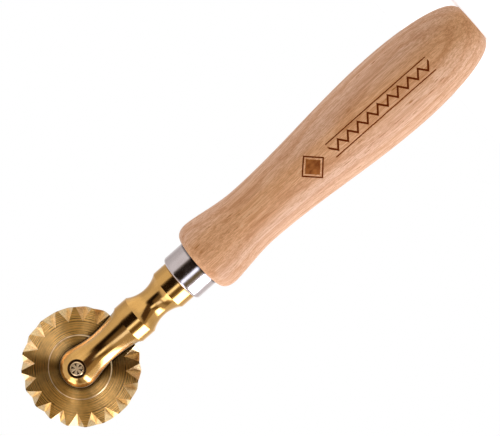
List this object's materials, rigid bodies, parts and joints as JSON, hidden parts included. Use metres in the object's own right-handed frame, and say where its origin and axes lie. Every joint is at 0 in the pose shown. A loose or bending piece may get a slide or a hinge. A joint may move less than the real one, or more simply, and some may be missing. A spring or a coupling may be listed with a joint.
{
  "type": "pastry cutter wheel",
  "caption": "Hand-held pastry cutter: a brass wheel with a zigzag rim spins in a slotted brass fork, held by a steel ferrule on a turned wooden handle.",
  "frame": {"origin": "centre of the handle's flat butt face", "axes": "+Z along the tool from the butt to the wheel, +Y along the wheel's axle, +X across the wheel"},
  "size_m": [0.038, 0.0264, 0.1813],
  "materials": {
    "handle_wood": "oiled beech, satin",
    "ferrule_plating": "bright nickel plating on steel",
    "polished_brass": "turned and polished",
    "stud_steel": "plain zinc-plated steel",
    "pin_brass": "staked ends, satin",
    "turned_brass": "fine turning marks, unpolished"
  },
  "bodies": {
    "tool": {"handle": "handle_wood", "ferrule": "ferrule_plating", "fork": "polished_brass", "fork_stud": "stud_steel", "axle_pin": "pin_brass"},
    "wheel": {"cutting_wheel": "turned_brass"}
  },
  "joints": [
    {"name": "wheel_spin", "type": "hinge", "parent": "tool", "child": "wheel", "pos_m": [0, 0, 0.1623], "axis": [0, 1, 0], "continuous": true}
  ]
}
